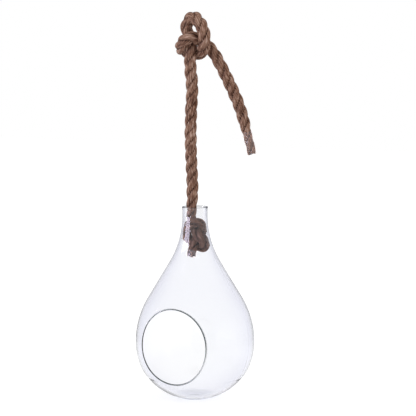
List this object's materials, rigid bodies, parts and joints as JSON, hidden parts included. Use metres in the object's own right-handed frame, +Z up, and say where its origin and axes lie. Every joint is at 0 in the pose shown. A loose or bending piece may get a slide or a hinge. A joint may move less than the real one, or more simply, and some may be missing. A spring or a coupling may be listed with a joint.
{
  "type": "teardrop hanging terrarium",
  "caption": "Clear blown glass teardrop with an oval side opening, hung from a thick laid rope knotted inside its neck and tied in a hanging loop.",
  "frame": {"origin": "the point just under the top of the rope loop where a hook bears, on the glass vessel's axis", "axes": "+Z up along the glass vessel's axis, the side opening faces -Y, +X to the right seen from the front"},
  "size_m": [0.1556, 0.1436, 0.5077],
  "materials": {
    "clear_glass": "clear polished",
    "jute_rope": "coarse brown natural fibre",
    "clear_tape": "clear glossy film"
  },
  "bodies": {
    "root": {"glass_vessel": "clear_glass", "hanging_rope": "jute_rope", "knot_end_tape": "clear_tape", "tail_end_tape": "clear_tape"}
  },
  "joints": []
}
